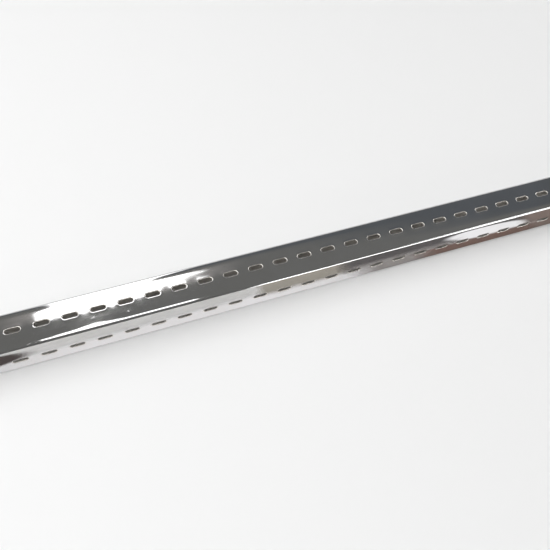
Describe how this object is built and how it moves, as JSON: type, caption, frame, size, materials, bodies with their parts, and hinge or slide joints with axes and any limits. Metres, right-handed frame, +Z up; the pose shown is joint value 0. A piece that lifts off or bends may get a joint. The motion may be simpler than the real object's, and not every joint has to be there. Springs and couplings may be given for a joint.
{
  "type": "perforated square tube",
  "caption": "Straight square steel tube, polished bright, with a row of round-ended slots along each face for bolts or bracket hooks.",
  "frame": {"origin": "middle of the bottom face, halfway along the tube", "axes": "+X along the tube, +Z up from the face that it lies on, -Y out of the front face"},
  "size_m": [1, 0.038, 0.038],
  "materials": {
    "polished_steel": "polished"
  },
  "bodies": {
    "root": {"perforated_tube": "polished_steel"}
  },
  "joints": []
}
